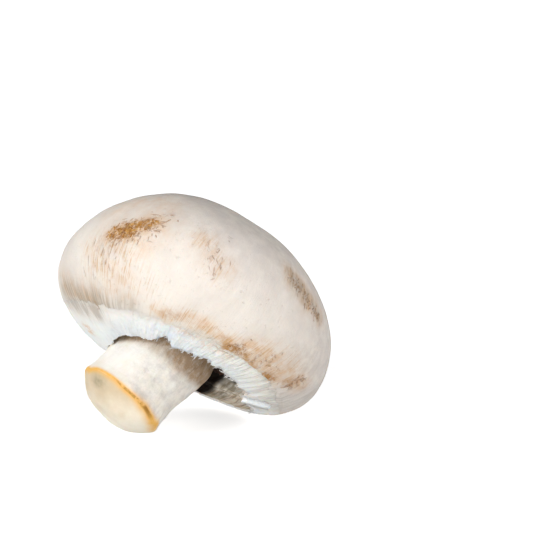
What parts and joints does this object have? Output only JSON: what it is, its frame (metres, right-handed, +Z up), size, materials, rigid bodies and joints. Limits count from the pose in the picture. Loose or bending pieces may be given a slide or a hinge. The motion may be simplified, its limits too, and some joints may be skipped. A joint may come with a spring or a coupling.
{
  "type": "button mushroom",
  "caption": "Picked white button mushroom lying on its side, with a rounded cap, gills under it, a torn veil and a short cut stem.",
  "frame": {"origin": "on the surface that the mushroom lies on, under the middle of its bounding box", "axes": "+Z up; the stem points along -Y and down to the surface; the cap's widest diameter runs along X"},
  "size_m": [0.0508, 0.0416, 0.0412],
  "materials": {
    "cap_skin": "smooth matt cream-white skin with fine radial fibres and pale brown bruises",
    "veil": "cottony cold-white membrane with fine radial wrinkles and a ragged torn edge",
    "gills": "thin matt pinkish-brown blades, dark in the hollow",
    "stem": "smooth cream-white flesh with fine lengthwise fibres and an orange-brown ring round the cut"
  },
  "bodies": {
    "root": {"cap": "cap_skin", "veil": "veil", "gills": "gills", "stem": "stem"}
  },
  "joints": []
}
